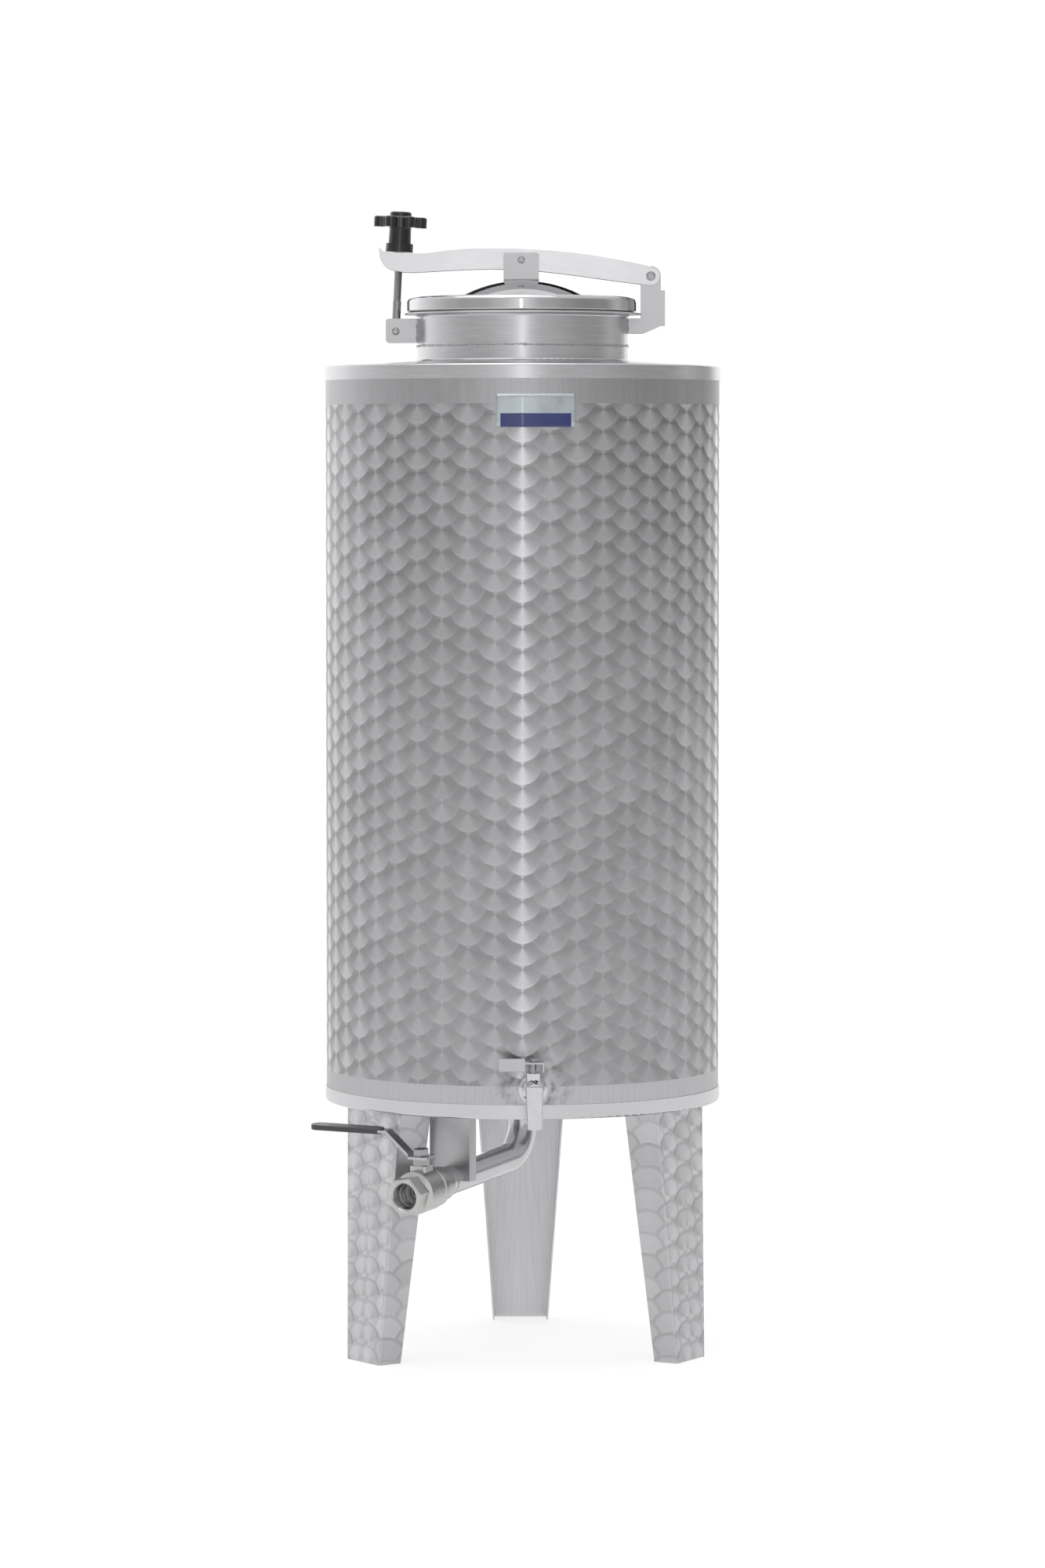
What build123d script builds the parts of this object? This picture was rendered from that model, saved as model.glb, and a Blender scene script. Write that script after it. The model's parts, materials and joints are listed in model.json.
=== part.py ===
from build123d import *
from math import cos, radians, sin, sqrt, tan
import os

os.makedirs("parts", exist_ok=True)

# Driving dimensions, millimetres. Z is the tank's axis, the origin is on the floor below it.
# Front is -Y, the clamp lies along X.

# Tank
shell_radius = 234.0
shell_wall = 1.5
tank_bottom = 297.8
tank_top = 1170.0
band_height = 17.0
cover_wall = 1.2
seam_gap = 0.05
bend_radius = 3.0
cover_rise = 6.0
bottom_fall = 10.0

# Neck
neck_radius = 125.5
neck_wall = 1.5
collar_height = 18.0
neck_top = 1232.9
lip_radius = 139.5
lip_wall = 2.2

# Lid
lid_shift = -1.5
lid_radius = 137.0
lid_wall = 1.5
lid_underside = 1234.6
rim_height = 17.0
rim_width = 19.0
rim_wall = 2.5
dome_radius = 90.0
dome_rise = 24.5
valley_drop = 3.0
gasket_gap = 0.3
gasket_width = 12.0

# Clamp: its heights stack up from the dome and down from the neck's lip
arm_width = 30.0
arm_wall = 2.5
arm_end_radius = 10.5
seat_rise = 8.9
seat_before = 10.5
seat_after = 23.5
slot_play = 1.0
slot_past_seat = 5.0
bridge_pin_rise = 22.6
bridge_ear_rise = 8.5
bridge_length = 42.0
bridge_wall = 2.5
bridge_gap = 0.4
bridge_pin_radius = 3.0
bridge_pin_head = 4.3
hinge_pin_x = 152.0
hinge_drop = 19.1
hinge_pin_radius = 4.0
hinge_pin_head = 5.6
hinge_wall = 3.0
hinge_gap = 0.4
ear_radius = 12.0
bracket_drop = 23.9
bracket_bevel = 9.0
foot_drop = 5.9
web_drop = 16.6
web_outside = 5.0
web_inside = 2.0
pin_head = 1.5
pin_play = 0.05
head_gap = 0.3
clevis_pin_x = -150.5
clevis_drop = 21.3
clevis_pin_radius = 4.0
clevis_pin_head = 4.6
clevis_wall = 3.0
clevis_under = 13.6
clevis_over = 15.0
clevis_nose = 4.0
weld_lap = 5.0
bolt_radius = 5.0
thread_depth = 0.75
shank_length = 36.0
bolt_lean = 2.6
bolt_eye_radius = 9.5
bolt_eye_width = 12.0
bolt_stop = 1.6
bolt_gap = 0.4

# Knob
knob_radius = 32.0
knob_lobes = 7
knob_core_radius = 26.0
knob_gap = 0.3
knob_collar_radius = 16.5
knob_collar_height = 10.2
knob_stem_radius = 13.6
knob_cap_radius = 13.0
knob_edge = 2.5
lobe_radius = 8.0
hollow_radius = 6.5
hollow_outside = 1.0
knob_head_start = 29.0
knob_head_end = 42.0
insert_radius = 8.0
insert_length = 30.0
cap_sink = 2.0
cap_height = 8.0

# Legs
leg_azimuths = {"leg_front_right": -30.5, "leg_rear": 90.7, "leg_front_left": 215.5}
leg_top_inset = 18.0
leg_foot_inset = 3.0
leg_top_width = 110.0
leg_foot_width = 68.0
leg_top_depth = 45.0
leg_foot_depth = 31.0
leg_wall = 2.0

# Drain
pipe_radius = 16.85
pipe_wall = 2.0
drain_azimuth = 240.0
drain_slope = 4.7
elbow_height = 230.8
elbow_radius = 42.0
valve_distance = 232.0
valve_half = 42.5
body_radius = 25.0
bore_radius = 12.5
ball_radius = 18.0
hex_flats = 40.0
thread_radius = 15.15
thread_length = 17.0
nipple_radius = 15.0
seat_play = 0.05
nipple_bare = 12.0
bonnet_half = 10.5
bonnet_top = 30.0
bonnet_corner = 3.0
hex_length = 20.0
hex_turn = 10
edge_break = 1.5
body_shoulder = 4.0
joint_x = -12.0
seat_width = 5.0
cavity_play = 0.5
tang_half = 2.5
tang_depth = 4.0
support_x = 170.0
support_wall = 3.0
support_width = 54.0
support_flange = 14.0
lever_wall = 3.0
lever_height = 38.0
lever_raise = 66.0
lever_length = 143.0
lever_width = 19.0
lever_tail = 13.0
lever_bend = 5.0
lever_neck = 14.0
lever_trim = 4.0
lever_pad = 26.0
lever_pad_width = 24.0
crank_start = 13.0
crank_end = 44.0
crank_skew = 1.5
sleeve_start = 50.0
sleeve_wall = 1.6
sleeve_end = 3.0
sleeve_edge = 0.9
stem_radius = 6.0
stem_height = 47.0
stem_gap = 0.3
gland_flat = 9.5
lever_nut_flat = 8.5
lever_nut_height = 8.0

# Sampling tap
tap_azimuth = -87.3
tap_height = 335.0
tap_radius = 12.0
tap_bore = 5.0
tap_reach = 57.0
tap_stem_out = 30.0
tap_ball_radius = 8.0
tap_tang = 2.5
tap_tang_half = 1.0
tap_cavity_play = 0.5
tap_seat_width = 4.0
tap_stem_radius = 3.5
tap_bonnet_radius = 8.5
tap_bonnet_top = 20.0
tap_collar_start = -16.4
tap_collar_end = -8.5
tap_collar_rise = 4.5
tap_barrel_end = 9.0
tap_spigot = 7.0
tap_spigot_start = -26.0
socket_inside = 8.0
socket_end = -16.5
spout_radius = 10.3
spout_rise = 7.0
spout_drop = 42.0
spout_tip_radius = 8.4
spout_bore = 6.6
tap_lever_height = 31.0
tap_lever_wall = 2.0
tap_lever_half = 11.0
tap_lever_fold = 9.0
blade_reach = 39.0
blade_low = 8.0
blade_height = 14.5
tap_nut_flat = 4.5
tap_nut_height = 3.5

# Worked out from the above
shell_inner = shell_radius - shell_wall
band_inner = shell_radius + seam_gap
band_outer = band_inner + cover_wall
neck_inner = neck_radius - neck_wall
arm_half = arm_width / 2
channel_half = arm_half - arm_wall
rim_top = lid_underside + rim_height
valley_z = rim_top - valley_drop
dome_top = valley_z + dome_rise
lean = radians(bolt_lean)
bridge_pin_z = dome_top + bridge_pin_rise
bridge_top = bridge_pin_z + bridge_ear_rise
hinge_pin_z = bridge_pin_z - hinge_drop
clevis_pin_z = neck_top - clevis_drop
seat_height = bridge_pin_z + seat_rise
bolt_at_seat = clevis_pin_x + (seat_height - clevis_pin_z) * tan(lean)
bolt_reach = (seat_height - clevis_pin_z) / cos(lean) - bolt_stop
leg_top_radius = shell_radius - leg_top_inset
leg_foot_radius = shell_radius - leg_foot_inset


def write(piece, name):
    """Label a finished piece and write its STEP file."""
    piece.part.label = name
    export_step(piece.part, f"parts/{name}.step")


# Shell: one rolled sheet
with BuildPart() as shell:
    with BuildSketch(Plane.XY.offset(tank_bottom + bend_radius)):
        Circle(shell_radius)
        Circle(shell_inner, mode=Mode.SUBTRACT)
    extrude(amount=tank_top - tank_bottom - 2 * bend_radius)
    with BuildSketch(Plane(origin=(0, 0, tap_height), x_dir=(0, 0, 1),
                           z_dir=(cos(radians(tap_azimuth)), sin(radians(tap_azimuth)), 0))):
        Circle(tap_radius + seam_gap)
    extrude(amount=shell_radius * 2, mode=Mode.SUBTRACT)
write(shell, "shell")

# Top cover: shallow cone, band turned down outside the shell, collar pulled up at the hole
collar_top = tank_top + cover_rise + collar_height
with BuildPart() as top_cover:
    with BuildSketch(Plane.XZ):
        with BuildLine():
            outside = FilletPolyline(
                (band_outer, tank_top - band_height),
                (band_outer, tank_top),
                (neck_radius, tank_top + cover_rise),
                (neck_radius, collar_top),
                radius=bend_radius,
            )
            inside = FilletPolyline(
                (neck_inner, collar_top),
                (neck_inner, tank_top + cover_rise - cover_wall),
                (band_inner, tank_top - cover_wall),
                (band_inner, tank_top - band_height),
                radius=bend_radius - cover_wall,
            )
            Line(outside @ 1, inside @ 0)
            Line(inside @ 1, outside @ 0)
        make_face()
    revolve(axis=Axis.Z)
write(top_cover, "top_cover")

# Neck: ring butt-welded on the collar, with its lip rolled out over a small radius
with BuildPart() as neck:
    with BuildSketch(Plane.XZ):
        with BuildLine():
            outside = FilletPolyline(
                (neck_radius, collar_top),
                (neck_radius, neck_top - lip_wall),
                (lip_radius, neck_top - lip_wall),
                radius=bend_radius,
            )
            edge = ThreePointArc(
                outside @ 1,
                (lip_radius + lip_wall / 2, neck_top - lip_wall / 2),
                (lip_radius, neck_top),
            )
            inside = FilletPolyline(
                edge @ 1,
                (neck_inner, neck_top),
                (neck_inner, collar_top),
                radius=bend_radius + neck_wall,
            )
            Line(inside @ 1, outside @ 0)
        make_face()
    revolve(axis=Axis.Z)
write(neck, "neck")

# Bottom dish: shallow cone that falls to the drain, band turned up outside the shell
drain_z = tank_bottom - bottom_fall
with BuildPart() as bottom_dish:
    with BuildSketch(Plane.XZ):
        with BuildLine():
            outside = FilletPolyline(
                (band_outer, tank_bottom + band_height),
                (band_outer, tank_bottom),
                (pipe_radius, drain_z),
                radius=bend_radius,
            )
            inside = FilletPolyline(
                (pipe_radius, drain_z + cover_wall),
                (band_inner, tank_bottom + cover_wall),
                (band_inner, tank_bottom + band_height),
                radius=bend_radius - cover_wall,
            )
            Line(outside @ 1, inside @ 0)
            Line(inside @ 1, outside @ 0)
        make_face()
    revolve(axis=Axis.Z)
write(bottom_dish, "bottom_dish")


# Legs: tapered sheet folded to a channel, open towards the axis, cut to the dish's cone
def cone_under(radius):
    """Height of the dish's underside at a radius from the axis."""
    return tank_bottom - bottom_fall * (band_outer - radius) / (band_outer - pipe_radius)


def leg_section(azimuth, radius, width, depth, height):
    """Block outline of a leg at one height, its web square to the azimuth."""
    level = Plane(origin=(0, 0, height), x_dir=(cos(azimuth), sin(azimuth), 0), z_dir=(0, 0, 1))
    with BuildSketch(level) as section:
        with Locations((radius - depth / 2, 0)):
            Rectangle(depth, width)
    return section.sketch


for leg_name, degrees_round in leg_azimuths.items():
    turn = radians(degrees_round)
    foot = leg_section(turn, leg_foot_radius, leg_foot_width, leg_foot_depth, 0)
    head = leg_section(turn, leg_top_radius, leg_top_width, leg_top_depth, tank_bottom)
    foot_hollow = leg_section(
        turn, leg_foot_radius - leg_wall, leg_foot_width - 2 * leg_wall, leg_foot_depth, 0
    )
    head_hollow = leg_section(
        turn, leg_top_radius - leg_wall, leg_top_width - 2 * leg_wall, leg_top_depth, tank_bottom
    )
    with BuildPart() as leg:
        loft(sections=[foot, head])
        long_edges = leg.edges().filter_by(lambda e: e.length > tank_bottom * 0.9)
        outward = Vector(cos(turn), sin(turn), 0)
        web_edges = long_edges.sort_by(lambda e: e.center().dot(outward))[-2:]
        fillet(web_edges, radius=bend_radius)
        loft(sections=[foot_hollow, head_hollow], mode=Mode.SUBTRACT)
        with BuildSketch(Plane.XZ):
            with BuildLine():
                Polyline(
                    (pipe_radius, cone_under(pipe_radius)),
                    (band_outer, cone_under(band_outer)),
                    (band_outer, tank_bottom + bottom_fall),
                    (pipe_radius, tank_bottom + bottom_fall),
                    close=True,
                )
            make_face()
        revolve(axis=Axis.Z, mode=Mode.SUBTRACT)
    write(leg, leg_name)

# Lid: pressed dome, shallow valley round it, rim rolled down over the gasket
lid_axis = Axis((lid_shift, 0, 0), (0, 0, 1))
lid_plane = Plane(origin=(lid_shift, 0, 0), x_dir=(1, 0, 0), z_dir=(0, -1, 0))
valley_radius = lid_radius - rim_width
dome_arc = (dome_radius ** 2 + dome_rise ** 2) / (2 * dome_rise)


def dome_height(radius):
    """Height of the dome's outer face at a radius from the lid's axis."""
    return dome_top - dome_arc + sqrt(dome_arc ** 2 - radius ** 2)


with BuildPart() as lid:
    with BuildSketch(lid_plane):
        with BuildLine():
            crown = ThreePointArc(
                (0, dome_top), (dome_radius / 2, dome_height(dome_radius / 2)), (dome_radius, valley_z)
            )
            rim = FilletPolyline(
                crown @ 1,
                (valley_radius - valley_drop, valley_z),
                (valley_radius + valley_drop, rim_top),
                (lid_radius, rim_top),
                (lid_radius, lid_underside),
                (lid_radius - rim_wall, lid_underside),
                radius=(bend_radius, bend_radius, 2 * bend_radius, rim_wall / 2),
            )
            under = FilletPolyline(
                rim @ 1,
                (lid_radius - rim_wall, rim_top - rim_wall),
                (valley_radius + valley_drop, rim_top - rim_wall),
                (valley_radius - valley_drop, valley_z - lid_wall),
                (dome_radius, valley_z - lid_wall),
                radius=bend_radius / 2,
            )
            inner_crown = ThreePointArc(
                under @ 1,
                (dome_radius / 2, dome_height(dome_radius / 2) - lid_wall),
                (0, dome_top - lid_wall),
            )
            Line(inner_crown @ 1, crown @ 0)
        make_face()
    revolve(axis=lid_axis)
write(lid, "lid")

# Lid gasket: square-section ring that fills the rim and nearly meets the lip
gasket_bottom = neck_top + gasket_gap
gasket_top = rim_top - rim_wall - seam_gap
gasket_outer = lid_radius - rim_wall - seam_gap
with BuildPart() as lid_gasket:
    with BuildSketch(lid_plane) as lid_gasket_section:
        with Locations((gasket_outer - gasket_width / 2, (gasket_bottom + gasket_top) / 2)):
            Rectangle(gasket_width, gasket_top - gasket_bottom)
        chamfer(lid_gasket_section.vertices().group_by(Axis.Z)[-1], length=bend_radius)
    revolve(axis=lid_axis)
write(lid_gasket, "lid_gasket")

# Lid bridge: U bracket whose base is dressed to the dome and whose ears stand outside the arm
bridge_half = arm_half + bridge_gap + bridge_wall
bridge_floor = dome_top + bridge_wall
with BuildPart() as lid_bridge:
    with BuildSketch(Plane.YZ.offset(lid_shift - bridge_length / 2)):
        with BuildLine():
            outer_u = FilletPolyline(
                (-bridge_half, bridge_top),
                (-bridge_half, dome_top - bridge_wall),
                (bridge_half, dome_top - bridge_wall),
                (bridge_half, bridge_top),
                radius=bend_radius,
            )
            inner_u = FilletPolyline(
                (bridge_half - bridge_wall, bridge_top),
                (bridge_half - bridge_wall, bridge_floor),
                (bridge_wall - bridge_half, bridge_floor),
                (bridge_wall - bridge_half, bridge_top),
                radius=bend_radius / 2,
            )
            Line(outer_u @ 1, inner_u @ 0)
            Line(inner_u @ 1, outer_u @ 0)
        make_face()
    extrude(amount=bridge_length)
    ear_corners = lid_bridge.edges().filter_by(Axis.Y).group_by(Axis.Z)[-1]
    fillet(ear_corners, radius=bend_radius)
    with BuildSketch(lid_plane):
        with BuildLine():
            dome_line = ThreePointArc(
                (0, dome_top), (dome_radius / 2, dome_height(dome_radius / 2)), (dome_radius, valley_z)
            )
            Line(dome_line @ 1, (0, valley_z))
            Line((0, valley_z), dome_line @ 0)
        make_face()
    revolve(axis=lid_axis, mode=Mode.SUBTRACT)
    with BuildSketch(Plane.XZ):
        with Locations((lid_shift, bridge_pin_z)):
            Circle(bridge_pin_radius + pin_play)
    extrude(amount=bridge_half * 2, both=True, mode=Mode.SUBTRACT)
write(lid_bridge, "lid_bridge")


def headed_pin(x, z, radius, half_length, head_radius, name):
    """Pin along Y with a domed head beyond each end of its grip."""
    with BuildPart() as pin:
        with BuildSketch(Plane(origin=(x, 0, z), x_dir=(0, 1, 0), z_dir=(1, 0, 0))):
            with BuildLine():
                Polyline(
                    (0, 0),
                    (0, radius),
                    (half_length, radius),
                    (half_length, head_radius),
                    (half_length + pin_head * 0.6, head_radius),
                    (half_length + pin_head, head_radius * 0.6),
                    (half_length + pin_head, 0),
                    close=True,
                )
            make_face()
        revolve(axis=Axis((x, 0, z), (0, 1, 0)))
        mirror(about=Plane.XZ)
    write(pin, name)


headed_pin(lid_shift, bridge_pin_z, bridge_pin_radius, bridge_half, bridge_pin_head, "bridge_pin")
headed_pin(hinge_pin_x, hinge_pin_z, hinge_pin_radius, arm_half + head_gap, hinge_pin_head, "hinge_pin")

# Clamp arm: bent channel, open below, forked at the bolt end; its sides run on round the hinge pin
arm_seat = (bolt_at_seat - 3.7, seat_height)


def shifted(points, start_x, start_z):
    """Shape points (x, z) moved to the place that they are measured from."""
    return [(start_x + x, start_z + z) for x, z in points]


arm_tip, arm_rise = shifted([(-20.4, 6.3), (55.0, 1.8)], *arm_seat)
arm_chin = shifted([(-19.5, -4.1), (-11.0, -17.6), (2.5, -22.3), (32.0, -23.0)], *arm_seat)
arm_crown, arm_fall = shifted([(-23.5, 13.7), (61.5, 8.7)], lid_shift, bridge_pin_z)
arm_belly = shifted([(-43.5, -10.7), (18.5, -12.9), (81.5, -20.5)], lid_shift, bridge_pin_z)
arm_end_top = (hinge_pin_x - 7.5, hinge_pin_z + 13.3)
seat_slope = -tan(lean)
seat_left = (arm_seat[0] - seat_before, seat_height - seat_before * seat_slope)
seat_right = (arm_seat[0] + seat_after, seat_height + seat_after * seat_slope)


def arm_outline(drop, floor):
    """Side outline of the arm; a drop lowers its back, and a floor makes it the pocket's outline."""
    tip = (arm_tip[0], arm_tip[1] - drop)
    left = (seat_left[0], seat_left[1] - drop)
    right = (seat_right[0], seat_right[1] - drop)
    with BuildSketch(Plane.XZ) as outline:
        with BuildLine():
            nose = Spline(tip, left, tangents=[(1, -0.7), (1, seat_slope)])
            Line(nose @ 1, right)
            back = Spline(
                right,
                (arm_rise[0], arm_rise[1] - drop),
                (arm_crown[0], arm_crown[1] - drop),
                (arm_fall[0], arm_fall[1] - drop),
                (arm_end_top[0], arm_end_top[1] - drop),
                tangents=[(1, seat_slope), (1, -0.21)],
            )
            if floor:
                Polyline(
                    back @ 1,
                    (arm_end_top[0], floor),
                    (arm_tip[0] - arm_wall, floor),
                    (arm_tip[0] - arm_wall, tip[1]),
                    tip,
                )
            else:
                heel = Line(back @ 1, (hinge_pin_x + 2.5, hinge_pin_z + arm_end_radius - 0.3))
                end = ThreePointArc(
                    heel @ 1,
                    (hinge_pin_x + arm_end_radius, hinge_pin_z),
                    (hinge_pin_x - 2.0, hinge_pin_z - arm_end_radius + 0.2),
                )
                belly = Spline(end @ 1, *reversed(arm_belly), *reversed(arm_chin[1:]), arm_chin[0])
                Line(belly @ 1, tip)
        make_face()
    return outline.sketch


with BuildPart() as clamp_arm:
    extrude(arm_outline(0, None), amount=arm_half, both=True)
    pocket = arm_outline(arm_wall, hinge_pin_z - 3 * arm_end_radius)
    extrude(pocket, amount=channel_half, both=True, mode=Mode.SUBTRACT)
    with BuildSketch(Plane.XZ):
        with Locations((arm_end_top[0] + arm_width, hinge_pin_z)):
            Rectangle(2 * arm_width, 3 * arm_width)
    extrude(amount=channel_half, both=True, mode=Mode.SUBTRACT)
    slot_end = arm_seat[0] + slot_past_seat
    slot_plane = Plane(origin=(slot_end, 0, seat_height - arm_width / 2), z_dir=(0, 0, 1))
    with BuildSketch(slot_plane):
        Circle(bolt_radius + slot_play)
        with Locations((-arm_width, 0)):
            Rectangle(2 * arm_width, 2 * (bolt_radius + slot_play))
    extrude(amount=arm_width, mode=Mode.SUBTRACT)
    with BuildSketch(Plane.XZ):
        with Locations((hinge_pin_x, hinge_pin_z)):
            Circle(hinge_pin_radius + pin_play)
        with Locations((lid_shift, bridge_pin_z)):
            Circle(bridge_pin_radius + pin_play)
    extrude(amount=arm_width, both=True, mode=Mode.SUBTRACT)
write(clamp_arm, "clamp_arm")

# Hinge bracket: narrower channel inside the arm, its ears welded to the neck, back web half way up
ear_half = channel_half - hinge_gap
bracket_left = hinge_pin_x - ear_radius + hinge_gap
bracket_right = hinge_pin_x + ear_radius
bracket_foot = neck_top - bracket_drop
foot_top = neck_top - foot_drop
web_top = hinge_pin_z - web_drop
foot_inner = neck_radius - 4 * weld_lap
with BuildPart() as hinge_bracket:
    with BuildSketch(Plane.XZ):
        with BuildLine():
            Polyline(
                (bracket_right, hinge_pin_z),
                (bracket_right, bracket_foot + bracket_bevel),
                (bracket_left + hinge_wall, bracket_foot),
                (foot_inner, bracket_foot),
                (foot_inner, foot_top),
                (bracket_left, foot_top),
                (bracket_left, hinge_pin_z),
            )
            ThreePointArc(
                (bracket_left, hinge_pin_z),
                ((bracket_left + bracket_right) / 2, hinge_pin_z + ear_radius),
                (bracket_right, hinge_pin_z),
            )
        make_face()
    extrude(amount=ear_half, both=True)
    with BuildSketch(Plane.XZ):
        with Locations((bracket_right, (bracket_foot + bracket_bevel + web_top) / 2)):
            Rectangle(2 * web_outside, web_top - bracket_foot - bracket_bevel)
    extrude(amount=ear_half, both=True)
    with BuildSketch(Plane.XZ):
        with Locations((foot_inner, hinge_pin_z)):
            Rectangle(2 * (bracket_right - web_inside - foot_inner), 4 * (hinge_pin_z - bracket_foot))
    extrude(amount=ear_half - hinge_wall, both=True, mode=Mode.SUBTRACT)
    with BuildSketch(Plane.XY.offset(bracket_foot - 1)):
        Circle(neck_radius + seam_gap)
    extrude(amount=foot_top - bracket_foot + 2, mode=Mode.SUBTRACT)
    with BuildSketch(Plane.XZ):
        with Locations((hinge_pin_x, hinge_pin_z)):
            Circle(hinge_pin_radius + pin_play)
    extrude(amount=arm_width, both=True, mode=Mode.SUBTRACT)
write(hinge_bracket, "hinge_bracket")

# Clevis bracket: U of sheet welded to the neck, ears either side of the bolt's eye
clevis_inner = bolt_eye_width / 2 + bolt_gap
clevis_half = clevis_inner + clevis_wall
clevis_left = clevis_pin_x - bolt_eye_radius - 2.3
clevis_web = -neck_radius - weld_lap
clevis_root = -neck_radius + 2 * weld_lap
clevis_bottom = clevis_pin_z - clevis_under
clevis_top = clevis_pin_z + clevis_over
with BuildPart() as clevis_bracket:
    with BuildSketch(Plane.XZ):
        with BuildLine():
            Polyline(
                (clevis_left, clevis_bottom),
                (clevis_left, clevis_top),
                (clevis_root, clevis_top),
                (clevis_root, clevis_bottom),
                close=True,
            )
        make_face()
    extrude(amount=clevis_half, both=True)
    nose_edges = clevis_bracket.edges().filter_by(Axis.Y).group_by(Axis.X)[0]
    fillet(nose_edges, radius=clevis_nose)
    with BuildSketch(Plane.XZ):
        with Locations((clevis_left, clevis_pin_z)):
            Rectangle(2 * (clevis_web - clevis_wall - clevis_left), 4 * clevis_over)
    extrude(amount=clevis_inner, both=True, mode=Mode.SUBTRACT)
    with BuildSketch(Plane.XY.offset(clevis_bottom - 1)):
        Circle(neck_radius + seam_gap)
    extrude(amount=clevis_top - clevis_bottom + 2, mode=Mode.SUBTRACT)
    with BuildSketch(Plane.XZ):
        with Locations((clevis_pin_x, clevis_pin_z)):
            Circle(clevis_pin_radius + pin_play)
    extrude(amount=clevis_half * 2, both=True, mode=Mode.SUBTRACT)
write(clevis_bracket, "clevis_bracket")

headed_pin(clevis_pin_x, clevis_pin_z, clevis_pin_radius, clevis_half, clevis_pin_head, "clevis_pin")

# Swing bolt: forged eye, plain shank, threaded end that stops just under the knob
bolt_dir = Vector(sin(lean), 0, cos(lean))
bolt_plane = Plane(origin=(clevis_pin_x, 0, clevis_pin_z), x_dir=(0, 1, 0), z_dir=bolt_dir)
thread_core = bolt_radius - thread_depth
with BuildPart() as swing_bolt:
    with BuildSketch(Plane.XZ):
        with Locations((clevis_pin_x, clevis_pin_z)):
            Circle(bolt_eye_radius)
    extrude(amount=bolt_eye_width / 2, both=True)
    with BuildSketch(bolt_plane):
        Circle(bolt_radius)
    extrude(amount=shank_length)
    with BuildSketch(bolt_plane):
        Circle(thread_core)
    extrude(amount=bolt_reach)
    with BuildSketch(Plane.XZ):
        with Locations((clevis_pin_x, clevis_pin_z)):
            Circle(clevis_pin_radius + pin_play)
    extrude(amount=bolt_eye_width, both=True, mode=Mode.SUBTRACT)
write(swing_bolt, "swing_bolt")

# Star knob on the bolt's line: collar, waisted stem, lobed head, bore for the threaded insert
knob_base = (seat_height + 2 * knob_gap - clevis_pin_z) / cos(lean)
knob_plane = bolt_plane.offset(knob_base)
with BuildPart() as knob:
    with BuildSketch(knob_plane):
        Circle(knob_collar_radius)
    extrude(amount=knob_collar_height)
    with BuildSketch(knob_plane.offset(knob_collar_height)):
        Circle(knob_stem_radius)
    with BuildSketch(knob_plane.offset(knob_head_start)):
        Circle(knob_cap_radius)
    loft()
    with BuildSketch(knob_plane.offset(knob_head_start)):
        Circle(knob_core_radius)
        with PolarLocations(knob_radius - lobe_radius, knob_lobes):
            Circle(lobe_radius)
        with PolarLocations(knob_radius + hollow_outside, knob_lobes, start_angle=180 / knob_lobes):
            Circle(hollow_radius, mode=Mode.SUBTRACT)
    extrude(amount=knob_head_end - knob_head_start)
    head_rims = knob.faces().sort_by(Axis.Z)[-1].edges()
    fillet(head_rims, radius=knob_edge)
    with BuildSketch(knob_plane):
        Circle(insert_radius + seam_gap)
    extrude(amount=insert_length, mode=Mode.SUBTRACT)
    with BuildSketch(knob_plane.offset(knob_head_end - cap_sink)):
        Circle(knob_cap_radius + seam_gap)
    extrude(amount=2 * cap_sink, mode=Mode.SUBTRACT)
write(knob, "knob")

# Knob cap: disc with a rounded edge, pressed into the head
with BuildPart() as knob_cap:
    with BuildSketch(knob_plane.offset(knob_head_end - cap_sink)):
        Circle(knob_cap_radius)
    extrude(amount=cap_height)
    fillet(knob_cap.faces().sort_by(Axis.Z)[-1].edges(), radius=knob_edge)
write(knob_cap, "knob_cap")

# Knob insert: threaded bush moulded into the stem
with BuildPart() as knob_insert:
    with BuildSketch(knob_plane):
        Circle(insert_radius)
        Circle(thread_core, mode=Mode.SUBTRACT)
    extrude(amount=insert_length - cap_sink)
write(knob_insert, "knob_insert")

# Drain frame: flow runs out along the sloping pipe, stem is square to it, side is flow x stem
bearing = radians(drain_azimuth)
fall = radians(drain_slope)
flow = Vector(cos(bearing) * cos(fall), sin(bearing) * cos(fall), -sin(fall))
stem_up = Vector(cos(bearing) * sin(fall), sin(bearing) * sin(fall), cos(fall))
side = flow.cross(stem_up)
elbow = Vector(0, 0, elbow_height)
run_to_ball = valve_distance / cos(fall)
ball_centre = elbow + flow * run_to_ball
valve_plane = Plane(origin=ball_centre, x_dir=flow, z_dir=side)
valve_axis = Axis(ball_centre, flow)
stem_axis = Axis(ball_centre, stem_up)
stem_base = Plane(origin=ball_centre, x_dir=side, z_dir=stem_up)
lever_side = Plane(origin=ball_centre, x_dir=side, z_dir=flow * -1)
pipe_end = run_to_ball - valve_half - nipple_bare

# Drain pipe: down from the dish, one bend, then sloping out to the nipple
with BuildPart() as drain_pipe:
    with BuildLine():
        FilletPolyline(
            (0, 0, drain_z + cover_wall), elbow, elbow + flow * pipe_end, radius=elbow_radius
        )
    with BuildSketch(Plane(origin=(0, 0, drain_z + cover_wall), z_dir=(0, 0, -1))):
        Circle(pipe_radius - seam_gap)
        Circle(pipe_radius - pipe_wall, mode=Mode.SUBTRACT)
    sweep()
write(drain_pipe, "drain_pipe")

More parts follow.
